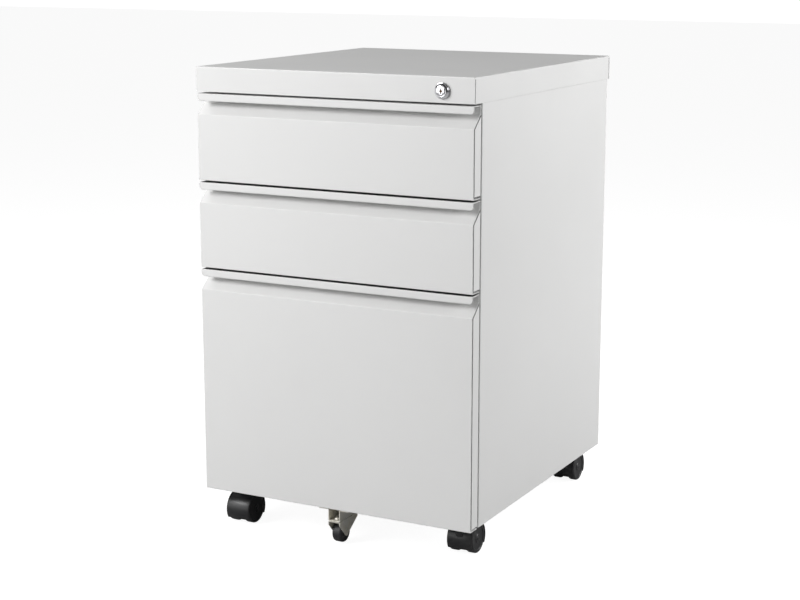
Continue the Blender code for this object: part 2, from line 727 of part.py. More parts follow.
def tilt_fork():
    """Inverted channel with its sides tapering to the axle, and the two rivets that hold it."""
    top = UNDERSIDE - CHANNEL_DROP - GAP
    wall = CHANNEL_HALF - SHEET / 2
    axle_z = TILT_CLEARANCE + TILT_WHEEL_RADIUS
    path = mirrored([(-wall, axle_z - 2 * FORK_NOSE), (-wall, top - SHEET / 2)])
    length = (CHANNEL_START, CHANNEL_START + CHANNEL_LENGTH - 4 * MM)
    fork = prism(strip(path, SHEET), *length, along_y)
    taper_top = top - 3.5 * MM
    nose = arc((TILT_AXLE, axle_z), FORK_NOSE, math.radians(200), math.radians(340), 6)
    keep = [(length[0] - SHEET, top + SHEET), (length[0] - SHEET, taper_top)]
    keep += nose + [(length[1] + SHEET, taper_top), (length[1] + SHEET, top + SHEET)]
    fork = combine(fork, prism(keep, -WIDTH / 4, WIDTH / 4, along_x), "INTERSECT")
    bore = rod((TILT_AXLE, axle_z), RIVET_HOLE, -CHANNEL_HALF * 2, CHANNEL_HALF * 2, along_x, 14)
    return joined(cut(fork, bore), *[tilt_rivet(y) for y in RIVETS])


def tilt_wheel():
    half = TILT_WHEEL_HALF
    edge = 3 * MM
    radius = TILT_WHEEL_RADIUS
    profile = [(RIVET_HOLE, -half)]
    profile += [(r, x) for x, r in arc((-half + edge, radius - edge), edge, math.pi, math.pi / 2, 3)]
    profile += [(r, x) for x, r in arc((half - edge, radius - edge), edge, math.pi / 2, 0, 3)]
    profile.append((RIVET_HOLE, half))
    return turned(profile, (0, 0), along_x, 24)


def tilt_axle():
    out = CHANNEL_HALF + GAP
    head = 3.6 * MM
    profile = [(0, -out - SHEET), (head, -out - 0.8 * SHEET), (head, -out), (RIVET_SHANK, -out)]
    profile += [(r, -x) for r, x in profile[::-1]]
    return turned(profile, (0, 0), along_x, 14)


def tilt_rivet(y):
    """Rivet through bracket and fork, with a domed head inside the channel."""
    under = UNDERSIDE - CHANNEL_DROP - GAP - SHEET / 2
    tail = under - SHEET / 2
    head = UNDERSIDE - CHANNEL_DROP + PLATE_STEEL + GAP
    profile = [(0, tail - 1.2 * MM), (3.2 * MM, tail - 0.8 * MM), (3.2 * MM, under)]
    profile += [(RIVET_SHANK, under), (RIVET_SHANK, head), (3.5 * MM, head)]
    profile += [(2.9 * MM, head + 1.1 * MM), (1.5 * MM, head + 1.8 * MM), (0, head + 2 * MM)]
    return turned(profile, (0, y), along_z, 14)


def anti_tilt_wheel(drawer_axis, bottom, zinc, rubber):
    """Pieces hang on the file drawer; their own heights are measured from the floor."""
    floor = pivot("anti_tilt_floor", drawer_axis, (0, 0, -bottom))
    piece("anti_tilt_bracket", tilt_bracket(), zinc, floor)
    piece("anti_tilt_fork", tilt_fork(), zinc, floor)
    axle = pivot("anti_tilt_wheel_axis", floor, (0, TILT_AXLE, TILT_CLEARANCE + TILT_WHEEL_RADIUS))
    piece("anti_tilt_axle", tilt_axle(), zinc, axle, True)
    piece("anti_tilt_wheel", tilt_wheel(), rubber, axle, True)


# ---------------------------------------------------------------- assembly

def build():
    for item in list(bpy.data.objects):
        bpy.data.objects.remove(item)
    painted = finish("powder_coat", (0.80, 0.80, 0.79), 0.42, 0.0)
    chrome = finish("chrome", (0.82, 0.82, 0.84), 0.12, 1.0)
    zinc = finish("zinc_plate", (0.56, 0.55, 0.50), 0.38, 1.0)
    plastic = finish("black_plastic", (0.022, 0.022, 0.023), 0.42, 0.0)
    rubber = finish("black_rubber", (0.018, 0.018, 0.020), 0.60, 0.0)

    cabinet = pivot("cabinet", None, (0, FRONT_Y, 0))
    case_pieces(cabinet, painted)

    top = HEIGHT - COVER_DROP
    heights = {"upper_drawer": BOX_FRONT, "middle_drawer": BOX_FRONT, "file_drawer": FILE_FRONT}
    places = []
    for number, (label, height) in enumerate(heights.items(), 1):
        bottom = top - REVEAL - height
        places.append((bottom, height))
        axis = drawer(label, number, cabinet, bottom, height, painted, zinc)
        top = bottom
    anti_tilt_wheel(axis, bottom, zinc, rubber)
    lock_pieces(cabinet, chrome, zinc, places)
    casters(cabinet, plastic, zinc)


build()
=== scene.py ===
"""Looks of a steel pedestal cabinet on castors.

Powder-coated sheet with rounded cut edges, a chrome lock, black moulded castors,
zinc-plated slides and locking bar, and the small wheel under the file drawer.
Lengths are metres.  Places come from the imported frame's own boxes.
"""
import json
import math

import bmesh
import bpy
from mathutils import Matrix, Vector


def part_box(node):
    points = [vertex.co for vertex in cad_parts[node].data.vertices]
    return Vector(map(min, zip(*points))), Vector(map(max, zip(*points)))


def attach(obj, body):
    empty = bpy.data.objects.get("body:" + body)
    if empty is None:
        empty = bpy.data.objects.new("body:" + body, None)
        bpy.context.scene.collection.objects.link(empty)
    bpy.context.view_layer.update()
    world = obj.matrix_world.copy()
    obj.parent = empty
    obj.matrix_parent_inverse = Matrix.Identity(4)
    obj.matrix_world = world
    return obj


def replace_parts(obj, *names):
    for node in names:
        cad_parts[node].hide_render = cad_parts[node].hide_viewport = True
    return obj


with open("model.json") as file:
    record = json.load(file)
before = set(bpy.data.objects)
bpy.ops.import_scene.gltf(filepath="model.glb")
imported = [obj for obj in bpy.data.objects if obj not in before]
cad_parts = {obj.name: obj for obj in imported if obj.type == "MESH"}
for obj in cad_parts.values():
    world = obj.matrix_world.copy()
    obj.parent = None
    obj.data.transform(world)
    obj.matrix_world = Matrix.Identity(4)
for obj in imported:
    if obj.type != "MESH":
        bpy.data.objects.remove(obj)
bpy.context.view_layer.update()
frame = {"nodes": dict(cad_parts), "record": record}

MM = 0.001
DRAWERS = ("upper_drawer", "middle_drawer", "file_drawer")
SIDES = ("left", "right")
CORNERS = tuple(f"{end}_{side}" for end in ("front", "rear") for side in SIDES)

# Rounding of cut steel edges
SHEET_EDGE = 0.28 * MM
COVER_EDGE = 0.30 * MM
SOFT_STEPS = 2
SHARP_ANGLE = math.radians(42)
FLOAT_SOCKET = "NodeSocketFloat"

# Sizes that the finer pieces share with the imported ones
FRONT_Y = -212.5 * MM          # plane of the drawer fronts
UNDERSIDE = 50 * MM
LOCK_FACE = 5.0 * MM            # collar's face in front of the cover
LOCK_RING = 9.8 * MM
LOCK_COLLAR = 8.9 * MM
LOCK_BARREL = 8.0 * MM
BARREL_END = 22 * MM
PLUG = 6.0 * MM
PLUG_SLACK = 0.12 * MM
PLUG_LENGTH = 31 * MM
KEYWAY_DEPTH = 5.5 * MM
LOCK_FACETS = 72
GAP = 0.3 * MM

# Castors
TRAIL = 16 * MM
WHEEL = 19 * MM
WHEEL_INNER = 6.5 * MM
WHEEL_OUTER = 17 * MM
GUARD_IN = 19.8 * MM
GUARD_OUT = 21.4 * MM
GUARD_START = math.radians(-32)
GUARD_END = math.radians(212)
WHEEL_BORE = 2.8 * MM
WEB = 4.5 * MM                  # half its thickness
WEB_IN = 15.5 * MM
WEB_START = math.radians(75)
WEB_END = math.radians(310)
BOSS = 6.2 * MM
BOSS_TOP = 45.7 * MM
STEM = 3.5 * MM
MOUNT_HALF = 19 * MM
MOUNT_THICKNESS = 2.5 * MM
MOUNT_SCREW = 13 * MM

# Wheel under the file drawer
TILT_WHEEL = 13 * MM
TILT_HALF = 6.8 * MM
TILT_BORE = 2.3 * MM
TILT_HEAD = 8.8 * MM

# Balls and cages of the slides: distance from the middle plane, and from the outer edge
BALL = 1.35 * MM
BALL_COUNT = 12
BOX_BALLS = 174.3 * MM
FILE_BALLS = 175.4 * MM
MIDDLE_BALLS = 174.0 * MM
OUTER_LIP = 2.6 * MM
MIDDLE_LIP = 6.6 * MM
CAGE_HALF = 1.5 * MM
CAGE_START = 30 * MM
CAGE_LENGTH = 190 * MM

# Fixings
TRAY_SCREWS = (0.06, 0.19, 0.33)
RIVETS = 6
RIVET_END = 30 * MM
RIVET_INSET = 6 * MM

# Viewpoint of the main picture
VIEW_PLACE = (1.0281, -1.9875, 0.7526)
VIEW_TURN = math.radians(27.72)
VIEW_DIP = math.radians(11.90)
VIEW_LENS = 76.6

# Studio: name, place, aim, size and watts of each lamp
FLOOR_REACH = 14.0
FLOOR_GLOW = 0.93
BACKDROP = 1.1
ROOM_LIGHT = 0.06
SOFTBOXES = (
    ("front panel", (-1.9, -2.7, 0.8), (0.0, 0.0, 0.4), (3.4, 2.8), 58.5),
    ("near left", (-1.1, -1.6, 1.4), (0.0, -0.2, 0.45), (0.9, 0.9), 27.0),
    ("right", (2.4, -0.45, 1.55), (0.1, 0.0, 0.45), (1.2, 1.2), 18.0),
    ("rear right", (1.5, 1.1, 0.95), (0.1, 0.0, 0.45), (1.0, 1.0), 26.0),
    ("over left", (-1.2, 0.2, 2.2), (0.0, 0.0, 0.5), (1.2, 1.2), 13.0),
)

slot_of = {row["node"]: row["material_slot"] for row in frame["record"]["subparts"]}
body_of = {}
for body_name, members in frame["record"]["behaviour"]["bodies"].items():
    for member in members:
        body_of[member] = body_name


def joint_row(name):
    """The record's row for a joint."""
    return next(row for row in frame["record"]["behaviour"]["joints"] if row["name"] == name)


# ---------------------------------------------------------------- node helpers

def node(tree, kind, **settings):
    """A new shader node with its own settings, such as its operation."""
    made = tree.nodes.new(kind)
    for name, value in settings.items():
        setattr(made, name, value)
    return made


def feed(tree, made, **values):
    """Sets or links inputs by name, with underscores for spaces."""
    for name, value in values.items():
        socket = made.inputs[name.replace("_", " ")]
        if isinstance(value, bpy.types.NodeSocket):
            tree.links.new(value, socket)
        else:
            socket.default_value = value
    return made


def math_node(tree, operation, first, second, clamp=False):
    """One sum on two values, each a number or an output."""
    made = node(tree, "ShaderNodeMath", operation=operation, use_clamp=clamp)
    for index, value in enumerate((first, second)):
        if isinstance(value, bpy.types.NodeSocket):
            tree.links.new(value, made.inputs[index])
        else:
            made.inputs[index].default_value = value
    return made.outputs[0]


def ramp(tree, value, low, high, out_low=0.0, out_high=1.0):
    """A value stretched from one range to another, and held at its ends."""
    made = node(tree, "ShaderNodeMapRange", clamp=True)
    feed(tree, made, Value=value, From_Min=low, From_Max=high, To_Min=out_low, To_Max=out_high)
    return made.outputs["Result"]


def mixed(tree, share, first, second):
    """A colour part of the way from the first to the second."""
    made = node(tree, "ShaderNodeMix", data_type="RGBA")
    for index, value in ((0, share), (6, first), (7, second)):
        if isinstance(value, bpy.types.NodeSocket):
            tree.links.new(value, made.inputs[index])
        elif index:
            made.inputs[index].default_value = (*value, 1.0)
        else:
            made.inputs[index].default_value = value
    return made.outputs[2]


def new_group(name, inputs, outputs):
    """An empty shader node group with named float inputs and outputs."""
    group = bpy.data.node_groups.new(name, "ShaderNodeTree")
    for label, value in inputs.items():
        socket = group.interface.new_socket(label, in_out="INPUT", socket_type=FLOAT_SOCKET)
        socket.default_value = value
    for label in outputs:
        group.interface.new_socket(label, in_out="OUTPUT", socket_type=FLOAT_SOCKET)
    return group, group.nodes.new("NodeGroupInput"), group.nodes.new("NodeGroupOutput")


def place_group(tree, group, **values):
    """A shared effect set into a material, with its own values."""
    made = node(tree, "ShaderNodeGroup", node_tree=group)
    feed(tree, made, **values)
    return made


def body_position(tree, stretch=(1, 1, 1)):
    """The piece's own coordinates in metres, stretched for grain."""
    coordinates = node(tree, "ShaderNodeTexCoord").outputs["Object"]
    if stretch == (1, 1, 1):
        return coordinates
    mapping = node(tree, "ShaderNodeMapping")
    feed(tree, mapping, Vector=coordinates, Scale=stretch)
    return mapping.outputs["Vector"]


def noise(tree, vector, scale, detail=2.0, roughness=0.5):
    """Smooth unevenness between nought and one."""
    made = node(tree, "ShaderNodeTexNoise")
    feed(tree, made, Vector=vector, Scale=scale, Detail=detail, Roughness=roughness)
    return made.outputs["Fac"]


# ---------------------------------------------------------------- shared effects

def peel_group():
    """Orange peel of cured powder: soft dimples with a finer grit in them."""
    group, start, end = new_group("orange_peel", {"Dimples": 700.0, "Grit": 2600.0}, ("Height",))
    place = body_position(group)
    dimples = noise(group, place, start.outputs["Dimples"], 1.0)
    grit = noise(group, place, start.outputs["Grit"], 1.0)
    grit = math_node(group, "MULTIPLY", grit, 0.35)
    height = math_node(group, "ADD", dimples, grit)
    group.links.new(height, end.inputs["Height"])
    return group


def drift_group():
    """Slow unevenness over a surface, from minus one to one."""
    group, start, end = new_group("slow_drift", {"Scale": 6.0}, ("Drift",))
    value = noise(group, body_position(group), start.outputs["Scale"], 3.0, 0.6)
    group.links.new(ramp(group, value, 0.3, 0.7, -1.0, 1.0), end.inputs["Drift"])
    return group


def edge_group():
    """Mask of convex and cut edges, one at the edge and nought on flats."""
    group, start, end = new_group("edge_line", {"Width": 0.0008}, ("Edge",))
    bevel = node(group, "ShaderNodeBevel", samples=4)
    feed(group, bevel, Radius=start.outputs["Width"])
    true_normal = node(group, "ShaderNodeNewGeometry").outputs["True Normal"]
    dot = node(group, "ShaderNodeVectorMath", operation="DOT_PRODUCT")
    group.links.new(bevel.outputs["Normal"], dot.inputs[0])
    group.links.new(true_normal, dot.inputs[1])
    group.links.new(ramp(group, dot.outputs["Value"], 0.98, 0.80), end.inputs["Edge"])
    return group


def corner_group():
    """Mask of seams and inner corners from occlusion, in patches: pale finishes darken there as
    painted shade, black ones grey there as dust.
    """
    group, start, end = new_group("corner_dust_and_shade", {"Reach": 0.006, "Patch": 60.0}, ("Dust_and_shade",))
    cover = node(group, "ShaderNodeAmbientOcclusion", samples=6)
    feed(group, cover, Distance=start.outputs["Reach"])
    hidden = ramp(group, cover.outputs["AO"], 0.85, 0.25)
    patch = noise(group, body_position(group), start.outputs["Patch"], 4.0, 0.6)
    patch = ramp(group, patch, 0.25, 0.65, 0.45, 1.0)
    group.links.new(math_node(group, "MULTIPLY", hidden, patch), end.inputs["Dust_and_shade"])
    return group


def seam_group():
    """Mask of narrow gaps between sheets, where hardly any light gets in."""
    group, start, end = new_group("seam_shade", {"Reach": 0.006}, ("Seam",))
    cover = node(group, "ShaderNodeAmbientOcclusion", samples=12)
    feed(group, cover, Distance=start.outputs["Reach"])
    group.links.new(ramp(group, cover.outputs["AO"], 0.60, 0.40), end.inputs["Seam"])
    return group


def grain_group():
    """Rolled or brushed grain that runs along Y, as a height and a tone."""
    group, start, end = new_group("rolled_grain", {"Across": 900.0, "Along": 18.0}, ("Grain",))
    coordinates = node(group, "ShaderNodeTexCoord").outputs["Object"]
    split = node(group, "ShaderNodeSeparateXYZ")
    group.links.new(coordinates, split.inputs[0])
    parts = []
    for axis, rate in (("X", "Across"), ("Y", "Along"), ("Z", "Across")):
        parts.append(math_node(group, "MULTIPLY", split.outputs[axis], start.outputs[rate]))
    join = node(group, "ShaderNodeCombineXYZ")
    for index, part in enumerate(parts):
        group.links.new(part, join.inputs[index])
    value = noise(group, join.outputs[0], 1.0, 3.0, 0.6)
    group.links.new(ramp(group, value, 0.3, 0.7), end.inputs["Grain"])
    return group


PEEL = peel_group()
DRIFT = drift_group()
EDGE = edge_group()
CORNER = corner_group()
SEAM = seam_group()
GRAIN = grain_group()


# ---------------------------------------------------------------- finishes

def blank(name):
    """A new material, with its nodes and its shader."""
    material = bpy.data.materials.new(name)
    material.use_nodes = True
    tree = material.node_tree
    return material, tree, tree.nodes["Principled BSDF"]


def bumped(tree, shader, height, distance, strength=1.0):
    """Gives a shader the relief of a height, in metres."""
    bump = node(tree, "ShaderNodeBump")
    feed(tree, bump, Height=height, Distance=distance, Strength=strength)
    tree.links.new(bump.outputs["Normal"], shader.inputs["Normal"])


def powder_coat(name="powder_coat", tone=(0.76, 0.76, 0.755)):
    """Pale grey polyester powder: satin, faintly dimpled, with a painted highlight along edges and
    bends and painted shade in corners and seams.
    """
    material, tree, shader = blank(name)
    drift = place_group(tree, DRIFT, Scale=5.0).outputs["Drift"]
    edge = place_group(tree, EDGE, Width=0.0009).outputs["Edge"]
    dust_and_shade = place_group(tree, CORNER, Reach=0.005, Patch=45.0).outputs["Dust_and_shade"]
    peel = place_group(tree, PEEL, Dimples=620.0, Grit=2400.0).outputs["Height"]
    edge_highlight_tone = tuple(channel * 1.035 for channel in tone)
    darker = tuple(channel * 0.985 for channel in tone)
    base = mixed(tree, ramp(tree, drift, -1.0, 1.0), darker, tone)
    # Lighter along edges and bends: a painted highlight.
    base = mixed(tree, math_node(tree, "MULTIPLY", edge, 0.55), base, edge_highlight_tone)
    # Darker in seams and inner corners: painted shade.
    corner_shade_tone = tuple(channel * shade for channel, shade in zip(tone, (0.60, 0.59, 0.565)))
    base = mixed(tree, math_node(tree, "MULTIPLY", dust_and_shade, 0.45), base, corner_shade_tone)
    # Near-black in narrow gaps between sheets: painted shade.
    seam = place_group(tree, SEAM, Reach=0.005).outputs["Seam"]
    base = mixed(tree, math_node(tree, "MULTIPLY", seam, 0.95), base, (0.02, 0.02, 0.02))
    rough = math_node(tree, "MULTIPLY_ADD", drift, 0.02)
    rough.node.inputs[2].default_value = 0.40
    rough = math_node(tree, "ADD", rough, math_node(tree, "MULTIPLY", dust_and_shade, 0.18))
    feed(tree, shader, Base_Color=base, Roughness=rough)
    shader.inputs["Specular IOR Level"].default_value = 0.45
    bumped(tree, shader, peel, 0.00003, 0.55)
    return material


def chrome(name="chrome", tone=(0.80, 0.80, 0.82), finish=0.13):
    """Polished plate with fine wiping marks, rougher in the corners and darkened there as painted
    shade.
    """
    material, tree, shader = blank(name)
    drift = place_group(tree, DRIFT, Scale=260.0).outputs["Drift"]
    dust_and_shade = place_group(tree, CORNER, Reach=0.0012, Patch=900.0).outputs["Dust_and_shade"]
    # Darker in seams and inner corners: painted shade.
    chrome_shade_tone = tuple(channel * 0.45 for channel in tone)
    base = mixed(tree, math_node(tree, "MULTIPLY", dust_and_shade, 0.6), tone, chrome_shade_tone)
    rough = math_node(tree, "MULTIPLY_ADD", drift, 0.02)
    rough.node.inputs[2].default_value = finish
    rough = math_node(tree, "ADD", rough, math_node(tree, "MULTIPLY", dust_and_shade, 0.25), clamp=True)
    feed(tree, shader, Base_Color=base, Roughness=rough)
    shader.inputs["Metallic"].default_value = 1.0
    marks = noise(tree, body_position(tree, (4000, 900, 4000)), 1.0, 2.0)
    bumped(tree, shader, marks, 0.000004, 0.35)
    return material


def zinc(name="zinc_plate", tone=(0.78, 0.765, 0.705), finish=0.42):
    """Dull bright-zinc plate with grain and warm blotches, paler along edges as a painted
    highlight and darker in corners as painted shade.
    """
    material, tree, shader = blank(name)
    grain = place_group(tree, GRAIN, Across=1100.0, Along=22.0).outputs["Grain"]
    drift = place_group(tree, DRIFT, Scale=55.0).outputs["Drift"]
    edge = place_group(tree, EDGE, Width=0.0006).outputs["Edge"]
    dust_and_shade = place_group(tree, CORNER, Reach=0.004, Patch=130.0).outputs["Dust_and_shade"]
    warm = tuple(channel * shade for channel, shade in zip(tone, (0.98, 0.94, 0.84)))
    pale = tuple(min(channel * 1.35, 0.9) for channel in tone)
    dark = tuple(channel * 0.42 for channel in tone)
    base = mixed(tree, ramp(tree, drift, -0.6, 1.0), tone, warm)
    base = mixed(tree, math_node(tree, "MULTIPLY", grain, 0.22), base, pale)
    # Paler along edges: a painted highlight.
    base = mixed(tree, math_node(tree, "MULTIPLY", edge, 0.7), base, pale)
    # Darker in seams and inner corners: painted shade.
    base = mixed(tree, math_node(tree, "MULTIPLY", dust_and_shade, 0.35), base, dark)
    rough = math_node(tree, "MULTIPLY_ADD", grain, 0.12)
    rough.node.inputs[2].default_value = finish - 0.05
    rough = math_node(tree, "ADD", rough, math_node(tree, "MULTIPLY", dust_and_shade, 0.2), clamp=True)
    feed(tree, shader, Base_Color=base, Roughness=rough)
    shader.inputs["Metallic"].default_value = 0.45
    bumped(tree, shader, grain, 0.00002, 0.5)
    return material


def black_nylon(name="black_plastic", tone=(0.011, 0.011, 0.012), finish=0.36):
    """Moulded nylon: satin skin, fine spark-eroded texture, greyer on edges."""
    material, tree, shader = blank(name)
    drift = place_group(tree, DRIFT, Scale=70.0).outputs["Drift"]
    edge = place_group(tree, EDGE, Width=0.0007).outputs["Edge"]
    dust_and_shade = place_group(tree, CORNER, Reach=0.003, Patch=160.0).outputs["Dust_and_shade"]
    texture = place_group(tree, PEEL, Dimples=3200.0, Grit=9000.0).outputs["Height"]
    greyer_tone = tuple(channel * 2.4 for channel in tone)
    dusty = (0.060, 0.058, 0.055)
    base = mixed(tree, ramp(tree, drift, -1.0, 1.0, 0.0, 0.25), tone, greyer_tone)
    # Greyer along edges: partly scuffing, partly a painted highlight.
    base = mixed(tree, math_node(tree, "MULTIPLY", edge, 0.5), base, greyer_tone)
    base = mixed(tree, math_node(tree, "MULTIPLY", dust_and_shade, 0.25), base, dusty)
    rough = math_node(tree, "MULTIPLY_ADD", drift, 0.04)
    rough.node.inputs[2].default_value = finish
    rough = math_node(tree, "ADD", rough, math_node(tree, "MULTIPLY", dust_and_shade, 0.2))
    feed(tree, shader, Base_Color=base, Roughness=rough)
    bumped(tree, shader, texture, 0.000012, 0.6)
    return material


def black_rubber(name="black_rubber", tone=(0.017, 0.017, 0.020), finish=0.52):
    """Dull rubber tread, dusty where it rolls."""
    material, tree, shader = blank(name)
    drift = place_group(tree, DRIFT, Scale=120.0).outputs["Drift"]
    dust_and_shade = place_group(tree, CORNER, Reach=0.003, Patch=200.0).outputs["Dust_and_shade"]
    texture = place_group(tree, PEEL, Dimples=2400.0, Grit=7000.0).outputs["Height"]
    dusty = (0.070, 0.067, 0.062)
    base = mixed(tree, ramp(tree, drift, 0.0, 1.0, 0.0, 0.35), tone, dusty)
    base = mixed(tree, math_node(tree, "MULTIPLY", dust_and_shade, 0.35), base, dusty)
    rough = math_node(tree, "MULTIPLY_ADD", drift, 0.06)
    rough.node.inputs[2].default_value = finish
    feed(tree, shader, Base_Color=base, Roughness=rough)
    bumped(tree, shader, texture, 0.00002, 0.6)
    return material


def wards(name="brass_wards", tone=(0.16, 0.095, 0.055)):
    """Dark tarnished brass down in the keyway."""
    material, tree, shader = blank(name)
    drift = place_group(tree, DRIFT, Scale=900.0).outputs["Drift"]
    dark = tuple(channel * 0.35 for channel in tone)
    base = mixed(tree, ramp(tree, drift, -1.0, 1.0), dark, tone)
    feed(tree, shader, Base_Color=base, Roughness=0.55)
    shader.inputs["Metallic"].default_value = 0.6
    return material


FINISHES = {
    "powder_coat": powder_coat(),
    "chrome": chrome(),
    "zinc_plate": zinc(),
    "black_plastic": black_nylon(),
    "black_rubber": black_rubber(),
}
SLIDE_ZINC = zinc("slide_zinc", (0.60, 0.60, 0.585), 0.36)


def finish_of(name, slot):
    """The slot's own finish, or the cooler plate of the slides and locking parts."""
    if slot == "zinc_plate" and not name.startswith("anti_tilt"):
        return SLIDE_ZINC
    return FINISHES[slot]


# ---------------------------------------------------------------- carried-over nodes

def coat_nodes():
    """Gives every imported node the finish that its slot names."""
    for name, item in frame["nodes"].items():
        item.data.materials.clear()
        item.data.materials.append(finish_of(name, slot_of[name]))
        item.data.shade_smooth()
        item.data.set_sharp_from_angle(angle=SHARP_ANGLE)


# ---------------------------------------------------------------- piece helpers

def finished(name, bm, body, slot, material=None):
    """A smooth mesh object from bm that rides on a body and takes its finish from a slot."""
    mesh = bpy.data.meshes.new(name)
    bm.to_mesh(mesh)
    bm.free()
    mesh.materials.append(material or finish_of(name, slot))
    item = bpy.data.objects.new(name, mesh)
    bpy.context.scene.collection.objects.link(item)
    mesh.shade_smooth()
    mesh.set_sharp_from_angle(angle=SHARP_ANGLE)
    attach(item, body)
    return item


def softened(name, width):
    """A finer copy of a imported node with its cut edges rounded, which stands for it."""
    bm = bmesh.new()
    bm.from_mesh(frame["nodes"][name].data)
    bmesh.ops.remove_doubles(bm, verts=bm.verts, dist=1e-6)
    bmesh.ops.dissolve_limit(bm, angle_limit=math.radians(0.5), verts=bm.verts, edges=bm.edges)
    folds = [edge for edge in bm.edges if edge.is_manifold]
    hard = [edge for edge in folds if edge.calc_face_angle() > SHARP_ANGLE]
    bmesh.ops.bevel(
        bm, geom=hard, offset=width, segments=SOFT_STEPS, profile=0.5, affect="EDGES",
        clamp_overlap=True, miter_outer="SHARP", harden_normals=False,
    )
    item = finished(f"{name}_sheet", bm, body_of[name], slot_of[name])
    weigh = item.modifiers.new("flat faces", "WEIGHTED_NORMAL")
    weigh.keep_sharp = True
    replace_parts(item, name)


# ---------------------------------------------------------------- outlines and solids

def arc(centre, radius, start, end, steps):
    """Points on an arc, angles in radians."""
    points = []
    for step in range(steps + 1):
        angle = start + (end - start) * step / steps
        points.append((centre[0] + radius * math.cos(angle), centre[1] + radius * math.sin(angle)))
    return points


def filleted(points, radius, steps=3):
    """A closed outline with rounded corners; a point's third value is its own radius."""
    outline = []
    for index, point in enumerate(points):
        corner = Vector(point[:2])
        size = point[2] if len(point) > 2 else radius
        before = Vector(points[index - 1][:2])
        after = Vector(points[(index + 1) % len(points)][:2])
        if size == 0:
            outline.append(tuple(corner))
            continue
        start = corner + (before - corner).normalized() * size
        end = corner + (after - corner).normalized() * size
        for step in range(steps + 1):
            share = step / steps
            outline.append(tuple(start.lerp(corner, share).lerp(corner.lerp(end, share), share)))
    return outline


def shrunk(outline, by):
    """The outline moved inwards, for the rim of a rounded plate."""
    points = [Vector(point) for point in outline]
    area = sum(a.x * b.y - b.x * a.y for a, b in zip(points, points[1:] + points[:1]))
    sense = 1.0 if area > 0 else -1.0
    moved = []
    for index, point in enumerate(points):
        ahead = (points[(index + 1) % len(points)] - point).normalized()
        behind = (point - points[index - 1]).normalized()
        middle = (ahead + behind).normalized()
        inward = Vector((-middle.y, middle.x)) * sense
        moved.append(point + inward * by / max(middle.dot(ahead), 0.4))
    return moved


def across(u, v, w):
    """Turned or extruded along X."""
    return (w, u, v)


def inwards(u, v, w):
    """Turned or extruded along Y."""
    return (u, w, v)


def upwards(u, v, w):
    """Turned or extruded along Z."""
    return (u, v, w)


def lathe(bm, profile, centre, place, steps=64):
    """Adds a closed profile of (radius, distance) turned about an axis."""
    fresh = []
    rings = []
    for step in range(steps):
        angle = 2 * math.pi * step / steps
        ring = []
        for radius, distance in profile:
            u = centre[0] + radius * math.cos(angle)
            v = centre[1] + radius * math.sin(angle)
            ring.append(bm.verts.new(place(u, v, distance)))
        rings.append(ring)
        fresh += ring
    faces = []
    for ring, following in zip(rings, rings[1:] + rings[:1]):
        for here in range(len(profile)):
            ahead = (here + 1) % len(profile)
            corners = (ring[here], following[here], following[ahead], ring[ahead])
            faces.append(bm.faces.new(corners))
    bmesh.ops.recalc_face_normals(bm, faces=faces)
    bmesh.ops.remove_doubles(bm, verts=fresh, dist=1e-7)
    return bm


def plate(bm, outline, low, high, place, rim):
    """Adds an outline carried from low to high, with both rims rounded."""
    rows = []
    near = [(rim, low), (rim * 0.3, low + rim * 0.3), (0, low + rim)]
    far = [(0, high - rim), (rim * 0.3, high - rim * 0.3), (rim, high)]
    for inset, level in near + far:
        points = shrunk(outline, inset)
        rows.append([bm.verts.new(place(point.x, point.y, level)) for point in points])
    faces = [bm.faces.new(rows[0]), bm.faces.new(rows[-1][::-1])]
    for row, following in zip(rows, rows[1:]):
        for here in range(len(outline)):
            ahead = (here + 1) % len(outline)
            faces.append(bm.faces.new((row[here], following[here], following[ahead], row[ahead])))
    bmesh.ops.recalc_face_normals(bm, faces=faces)


def carried(bm, turn, place):
    """Turns everything about the upright axis, then moves it into place."""
    matrix = Matrix.Translation(place) @ Matrix.Rotation(turn, 4, "Z")
    bmesh.ops.transform(bm, matrix=matrix, verts=bm.verts)
    return bm


# ---------------------------------------------------------------- lock

def lock_centre():
    """Where the plug's axis meets the plane of the fronts."""
    return Vector(joint_row("lock_turn")["pos_m"])


def circle(centre, radius):
    """A closed ring of points about the lock's axis."""
    return arc(centre, radius, 0, 2 * math.pi, LOCK_FACETS)[:-1]


def keyway_outline(centre):
    """A tall slot with a wider waist, as the end of the key is shaped."""
    half = [(0.45, 3.4), (0.7, 1.7), (1.9, 0.4), (1.9, -0.4), (0.7, -1.7), (0.45, -3.4)]
    points = [(u * MM, v * MM) for u, v in half]
    points += [(-u, v) for u, v in reversed(points)]
    return [(centre.x + u, centre.z + v) for u, v in points]


def lock_collar(around, face):
    """Ring against the cover, coned collar in front of it, and the barrel behind."""
    bore = PLUG + PLUG_SLACK
    behind = FRONT_Y + BARREL_END
    profile = [(bore, face + 0.1 * MM, 0.08 * MM), (bore + 0.45 * MM, face, 0.15 * MM)]
    profile += [(LOCK_COLLAR, face + 1.7 * MM, 0.4 * MM)]
    profile += [(LOCK_COLLAR, FRONT_Y - 2.0 * MM, 0.15 * MM)]
    profile += [(LOCK_RING, FRONT_Y - 1.7 * MM, 0.4 * MM)]
    profile += [(LOCK_RING, FRONT_Y - GAP, 0.2 * MM), (LOCK_BARREL, FRONT_Y - GAP, 0)]
    profile += [(LOCK_BARREL, behind, 0.5 * MM), (bore, behind, 0.2 * MM)]
    bm = lathe(bmesh.new(), filleted(profile, 0, 4), around, inwards, 96)
    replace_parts(finished("lock_collar", bm, "cabinet", "chrome"), "lock_housing")


